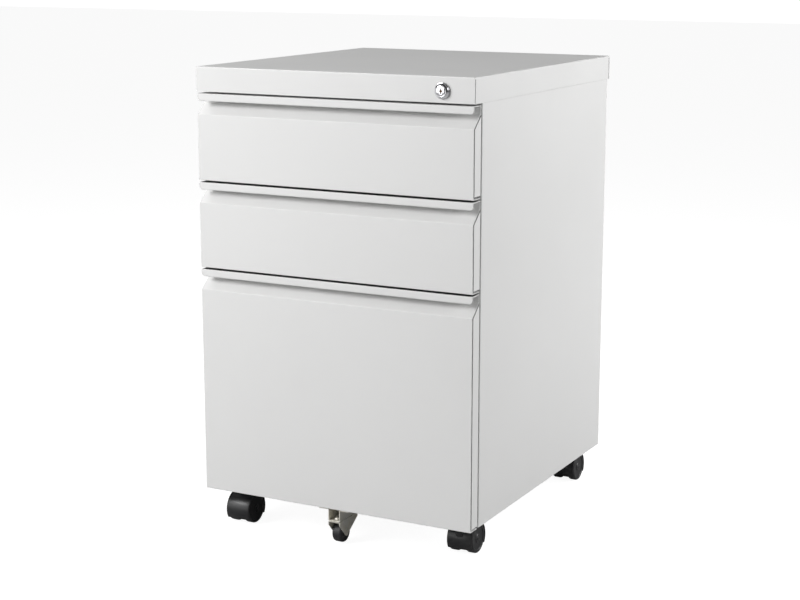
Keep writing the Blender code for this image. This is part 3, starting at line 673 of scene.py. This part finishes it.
def lock_plug(around, nose, keyway):
    """Turned plug whose flat face is cut by the keyway, down to the keyway's floor."""
    bm = bmesh.new()
    slot = [bm.verts.new((u, nose, v)) for u, v in keyway]
    rim = [bm.verts.new((u, nose, v)) for u, v in circle(around, PLUG - 0.4 * MM)]
    edges = [bm.edges.new((row[i - 1], row[i])) for row in (slot, rim) for i in range(len(row))]
    bmesh.ops.triangle_fill(bm, use_beauty=True, use_dissolve=False, edges=edges)
    rings = [rim]
    shoulder = [(PLUG - 0.1 * MM, 0.12 * MM), (PLUG, 0.4 * MM)]
    for radius, depth in [*shoulder, (PLUG, PLUG_LENGTH), (0.01 * MM, PLUG_LENGTH)]:
        rings.append([bm.verts.new((u, nose + depth, v)) for u, v in circle(around, radius)])
    floor = [bm.verts.new((vert.co.x, nose + KEYWAY_DEPTH, vert.co.z)) for vert in slot]
    for row, following in [*zip(rings, rings[1:]), (slot, floor)]:
        for i in range(len(row)):
            bm.faces.new((row[i - 1], following[i - 1], following[i], row[i]))
    bm.faces.new(floor)
    bmesh.ops.remove_doubles(bm, verts=rings[-1], dist=0.05 * MM)
    bmesh.ops.recalc_face_normals(bm, faces=bm.faces)
    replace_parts(finished("lock_plug_face", bm, "lock_plug", "chrome"), "lock_plug")


def lock_wards(nose, keyway):
    """Dark brass filling of the keyway, set back from the plug's face."""
    bm = bmesh.new()
    low = nose + 0.7 * MM
    high = nose + KEYWAY_DEPTH - 0.1 * MM
    plate(bm, [tuple(point) for point in shrunk(keyway, 0.06 * MM)], low, high, inwards, 0.02 * MM)
    finished("lock_wards", bm, "lock_plug", "chrome", material=wards())


def lock():
    """Collar, plug and wards, set out from the plug's axis."""
    centre = lock_centre()
    around = (centre.x, centre.z)
    face = FRONT_Y - LOCK_FACE
    nose = face + 0.25 * MM
    keyway = keyway_outline(centre)
    lock_collar(around, face)
    lock_plug(around, nose, keyway)
    lock_wards(nose, keyway)


# ---------------------------------------------------------------- castors

def screw(bm, place, normal, radius=3.3 * MM, height=1.3 * MM):
    """Adds a domed head with its recess suggested by a shallow dish."""
    profile = [(0, 0), (radius, 0), (radius, height * 0.35), (radius * 0.86, height * 0.75)]
    profile += [(radius * 0.55, height), (radius * 0.42, height)]
    profile += [(radius * 0.3, height * 0.55), (0, height * 0.5)]
    part = lathe(bmesh.new(), profile, (0, 0), upwards, 20)
    turn = Vector((0, 0, 1)).rotation_difference(Vector(normal)).to_matrix().to_4x4()
    bmesh.ops.transform(part, matrix=Matrix.Translation(place) @ turn, verts=part.verts)
    mesh = bpy.data.meshes.new("screw")
    part.to_mesh(mesh)
    part.free()
    bm.from_mesh(mesh)
    bpy.data.meshes.remove(mesh)


def caster_shell():
    """Guard, web, boss and axle ends of one castor, trailing towards -Y."""
    wheel = (-TRAIL, WHEEL)
    bm = bmesh.new()
    outline = arc(wheel, GUARD_OUT, GUARD_START, GUARD_END, 48)
    outline += arc(wheel, GUARD_IN, GUARD_END, GUARD_START, 48)
    plate(bm, outline, -WHEEL_OUTER, WHEEL_OUTER, across, 0.7 * MM)
    web = arc(wheel, GUARD_OUT - 0.7 * MM, WEB_START, GUARD_END, 32)
    web += arc(wheel, WEB_IN, GUARD_END, WEB_END, 20)
    web += [(5.6 * MM, 26 * MM), (5.6 * MM, 44 * MM), (-6 * MM, 44 * MM)]
    plate(bm, web, -WEB, WEB, across, 0.5 * MM)
    boss = [(0, 24.5 * MM, 0), (BOSS, 24.5 * MM, 0.8 * MM), (BOSS, 42 * MM, 0.8 * MM)]
    boss += [(10 * MM, 42 * MM, 0.6 * MM), (10 * MM, BOSS_TOP, 0.6 * MM), (0, BOSS_TOP, 0)]
    lathe(bm, filleted(boss, 0, 3), (0, 0), upwards, 48)
    for side in (-1, 1):
        pin = [(0, side * 4 * MM), (2.5 * MM, side * 4 * MM), (2.5 * MM, side * 16.4 * MM)]
        pin += [(2.0 * MM, side * 16.8 * MM), (0, side * 16.9 * MM)]
        lathe(bm, pin, wheel, across, 24)
    return bm


def caster_disc(side):
    """One wheel: rounded tread, raised rim, shallow dish and hub."""
    inner = WHEEL_INNER
    outer = WHEEL_OUTER
    profile = [(WHEEL_BORE, inner, 0), (WHEEL, inner, 2.0 * MM), (WHEEL, outer, 2.2 * MM)]
    profile += [(15.2 * MM, outer, 0.4 * MM), (14.6 * MM, outer - 0.9 * MM, 0.4 * MM)]
    profile += [(6.0 * MM, outer - 1.2 * MM, 0.5 * MM), (5.2 * MM, outer - 0.4 * MM, 0.3 * MM)]
    profile += [(WHEEL_BORE, outer - 0.4 * MM, 0)]
    closed = filleted(profile, 0, 5)
    return lathe(bmesh.new(), [(r, side * x) for r, x in closed], (-TRAIL, WHEEL), across, 72)


def caster_mount():
    """Square plate with rounded corners, four screws and the swivel stem."""
    bm = bmesh.new()
    low = UNDERSIDE - MOUNT_THICKNESS
    half = MOUNT_HALF
    square = filleted([(-half, -half), (half, -half), (half, half), (-half, half)], 5 * MM, 6)
    plate(bm, square, low, UNDERSIDE, upwards, 0.4 * MM)
    stem = [(0, 31 * MM, 0), (STEM, 31 * MM, 0.4 * MM), (STEM, 46.2 * MM, 0)]
    stem += [(8 * MM, 46.2 * MM, 0.4 * MM), (8 * MM, low + 0.5 * MM, 0), (0, low + 0.5 * MM, 0)]
    lathe(bm, filleted(stem, 0, 3), (0, 0), upwards, 40)
    for x in (-MOUNT_SCREW, MOUNT_SCREW):
        for y in (-MOUNT_SCREW, MOUNT_SCREW):
            screw(bm, (x, y, low + 0.1 * MM), (0, 0, -1))
    return bm


def casters():
    """Four castors, each turned the way that its wheels trail at rest."""
    for corner in CORNERS:
        place = Vector(joint_row(f"{corner}_swivel_turn")["pos_m"])
        axle = Vector(joint_row(f"{corner}_wheel_left_roll")["pos_m"])
        turn = 0.0 if axle.y < place.y else math.pi
        spot = (place.x, place.y, 0)
        name = f"{corner}_caster"
        bm = carried(caster_shell(), turn, spot)
        item = finished(f"{name}_shell", bm, f"{corner}_swivel", "black_plastic")
        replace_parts(item, f"{name}_hood")
        for side, label in ((-1, "left"), (1, "right")):
            bm = carried(caster_disc(side), turn, spot)
            item = finished(f"{name}_disc_{label}", bm, f"{corner}_wheel_{label}", "black_plastic")
            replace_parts(item, f"{name}_wheel_{label}")
        bm = carried(caster_mount(), 0.0, spot)
        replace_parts(finished(f"{name}_mount", bm, "cabinet", "zinc_plate"), f"{name}_plate")


# ---------------------------------------------------------------- anti-tilt wheel

def tilt_wheel():
    """Round-shouldered tyre, and the pin with domed heads that it turns on."""
    axle = Vector(joint_row("anti_tilt_wheel_spin")["pos_m"])
    around = (axle.y, axle.z)
    half = TILT_HALF
    profile = [(TILT_BORE, -half, 0), (TILT_WHEEL, -half, 3.6 * MM)]
    profile += [(TILT_WHEEL, half, 3.6 * MM), (TILT_BORE, half, 0)]
    bm = lathe(bmesh.new(), filleted(profile, 0, 8), around, across, 72)
    item = finished("anti_tilt_tyre", bm, "anti_tilt_wheel", "black_rubber")
    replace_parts(item, "anti_tilt_wheel")
    out = TILT_HEAD
    pin = [(0, -out - 1.0 * MM), (2.2 * MM, -out - 0.95 * MM), (3.3 * MM, -out - 0.6 * MM)]
    pin += [(3.6 * MM, -out), (2.0 * MM, -out)]
    pin += [(radius, -distance) for radius, distance in reversed(pin)]
    bm = lathe(bmesh.new(), pin, around, across, 40)
    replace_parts(finished("anti_tilt_pin", bm, "file_drawer", "zinc_plate"), "anti_tilt_axle")


# ---------------------------------------------------------------- slides and fixings

def ball_row(name, body, x, z, start):
    """A row of balls in a thin cage, between two members of a slide."""
    bm = bmesh.new()
    half = CAGE_HALF
    flat = [(x - half, z - 0.2 * MM), (x + half, z - 0.2 * MM)]
    flat += [(x + half, z + 0.2 * MM), (x - half, z + 0.2 * MM)]
    plate(bm, flat, start, start + CAGE_LENGTH, inwards, 0.05 * MM)
    for step in range(BALL_COUNT):
        y = start + CAGE_LENGTH * (step + 0.5) / BALL_COUNT
        place = Matrix.Translation((x, y, z))
        bmesh.ops.create_uvsphere(bm, u_segments=12, v_segments=8, radius=BALL, matrix=place)
    finished(name, bm, body, "zinc_plate")


def slide_balls():
    """Rows between each pair of members, just inside the lips that hold them."""
    for drawer in DRAWERS:
        pairs = [("cabinet", BOX_BALLS, OUTER_LIP)]
        if drawer == "file_drawer":
            pairs = [("cabinet", FILE_BALLS, OUTER_LIP)]
            pairs.append(("file_slide_middles", MIDDLE_BALLS, MIDDLE_LIP))
        for side, sign in (("left", -1), ("right", 1)):
            low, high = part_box(f"{drawer}_{side}_slide_outer")
            centre = (low[2] + high[2]) / 2
            reach = (high[2] - low[2]) / 2
            for body, x, lip in pairs:
                for end, rise in (("upper", reach - lip), ("lower", lip - reach)):
                    name = f"{drawer}_{side}_{end}_balls_{body}"
                    ball_row(name, body, sign * x, centre + rise, low[1] + CAGE_START)


def tray_screws():
    """Screws that hold each tray to its slides, with their heads inside."""
    for drawer in DRAWERS:
        bm = bmesh.new()
        low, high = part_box(f"{drawer}_left_slide_inner")
        level = (low[2] + high[2]) / 2
        tray_low, tray_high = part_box(f"{drawer}_tray")
        for sign in (-1, 1):
            x = sign * (tray_high[0] - 1.0 * MM + 0.05 * MM)
            for y in TRAY_SCREWS:
                place = (x, tray_low[1] + y, level)
                screw(bm, place, (-sign, 0, 0), 3.0 * MM, 1.0 * MM)
        finished(f"{drawer}_tray_screws", bm, drawer, "zinc_plate")


def back_rivets():
    """Blind rivets down both edges of the rear sheet."""
    low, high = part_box("back_panel")
    lowest = low[2] + RIVET_END
    run = high[2] - low[2] - 2 * RIVET_END
    bm = bmesh.new()
    for sign in (-1, 1):
        for step in range(RIVETS):
            z = lowest + run * step / (RIVETS - 1)
            place = (sign * (high[0] - RIVET_INSET), high[1] - 0.05 * MM, z)
            screw(bm, place, (0, 1, 0), 2.6 * MM, 0.9 * MM)
    finished("back_rivets", bm, "cabinet", "zinc_plate")


# ---------------------------------------------------------------- setting

def studio_floor():
    """Pale sheet that the cabinet stands on, lit evenly up to the backdrop."""
    bm = bmesh.new()
    bmesh.ops.create_grid(bm, x_segments=8, y_segments=8, size=FLOOR_REACH)
    mesh = bpy.data.meshes.new("studio_floor")
    bm.to_mesh(mesh)
    bm.free()
    material, tree, shader = blank("studio_floor")
    seen = node(tree, "ShaderNodeLightPath").outputs["Is Camera Ray"]
    glow = node(tree, "ShaderNodeEmission")
    feed(tree, glow, Color=(1.0, 1.0, 1.0, 1.0), Strength=FLOOR_GLOW)
    patches = noise(tree, body_position(tree), 3.0)
    tone = mixed(tree, patches, (0.24, 0.24, 0.24), (0.26, 0.26, 0.26))
    feed(tree, shader, Base_Color=tone, Roughness=0.9)
    both = node(tree, "ShaderNodeAddShader")
    tree.links.new(glow.outputs[0], both.inputs[0])
    tree.links.new(shader.outputs[0], both.inputs[1])
    unseen = node(tree, "ShaderNodeBsdfDiffuse")
    feed(tree, unseen, Color=(0.45, 0.45, 0.45, 1.0))
    surface = tree.nodes["Material Output"].inputs["Surface"]
    choose(tree, seen, unseen.outputs[0], both.outputs[0], surface)
    mesh.materials.append(material)
    floor = bpy.data.objects.new("studio_floor", mesh)
    bpy.context.scene.collection.objects.link(floor)


def choose(tree, share, first, second, target):
    """Sends the first shader on to a target, or the second where the share is one."""
    choice = node(tree, "ShaderNodeMixShader")
    tree.links.new(share, choice.inputs[0])
    tree.links.new(first, choice.inputs[1])
    tree.links.new(second, choice.inputs[2])
    tree.links.new(choice.outputs[0], target)


def studio_world():
    """White to the eye, and a soft grey room to every surface."""
    world = bpy.data.worlds.new("studio")
    bpy.context.scene.world = world
    world.use_nodes = True
    tree = world.node_tree
    seen = node(tree, "ShaderNodeLightPath").outputs["Is Camera Ray"]
    white = node(tree, "ShaderNodeBackground")
    feed(tree, white, Color=(1.0, 1.0, 1.0, 1.0), Strength=BACKDROP)
    room = tree.nodes["Background"]
    feed(tree, room, Color=(1.0, 1.0, 1.0, 1.0), Strength=ROOM_LIGHT)
    surface = tree.nodes["World Output"].inputs["Surface"]
    choose(tree, seen, room.outputs[0], white.outputs[0], surface)


def softbox(name, place, aim, size, power):
    """A rectangular lamp turned towards its aim."""
    light = bpy.data.lights.new(name, "AREA")
    light.shape = "RECTANGLE"
    light.size, light.size_y = size
    light.energy = power
    lamp = bpy.data.objects.new(name, light)
    lamp.location = place
    lamp.rotation_euler = (Vector(aim) - Vector(place)).to_track_quat("-Z", "Y").to_euler()
    bpy.context.scene.collection.objects.link(lamp)


def studio():
    """Floor, backdrop, lamps and the camera of the main picture."""
    studio_floor()
    studio_world()
    for row in SOFTBOXES:
        softbox(*row)
    lens = bpy.data.cameras.new("view")
    lens.sensor_width = 36.0
    lens.lens = VIEW_LENS
    lens.clip_start = 0.05
    camera = bpy.data.objects.new("view", lens)
    camera.location = VIEW_PLACE
    camera.rotation_euler = (math.pi / 2 - VIEW_DIP, 0.0, VIEW_TURN)
    bpy.context.scene.collection.objects.link(camera)
    bpy.context.scene.camera = camera
    bpy.context.scene.view_settings.view_transform = "Standard"


# ---------------------------------------------------------------- making

coat_nodes()
for panel in ("top_cover", "left_side_panel", "right_side_panel"):
    softened(panel, COVER_EDGE)
for panel in ("back_panel", "bottom_panel", "front_rail", "locking_bar", "anti_tilt_bracket"):
    softened(panel, SHEET_EDGE)
for drawer in DRAWERS:
    for sheet in ("front_skin", "front_pan", "tray", "back_wall"):
        softened(f"{drawer}_{sheet}", SHEET_EDGE)
    for side in SIDES:
        for member in ("outer", "inner"):
            softened(f"{drawer}_{side}_slide_{member}", SHEET_EDGE)
for side in SIDES:
    softened(f"file_drawer_{side}_slide_middle", SHEET_EDGE)
    softened(f"file_drawer_{side}_file_rail", 0.2 * MM)
lock()
casters()
tilt_wheel()
slide_balls()
tray_screws()
back_rivets()
studio()
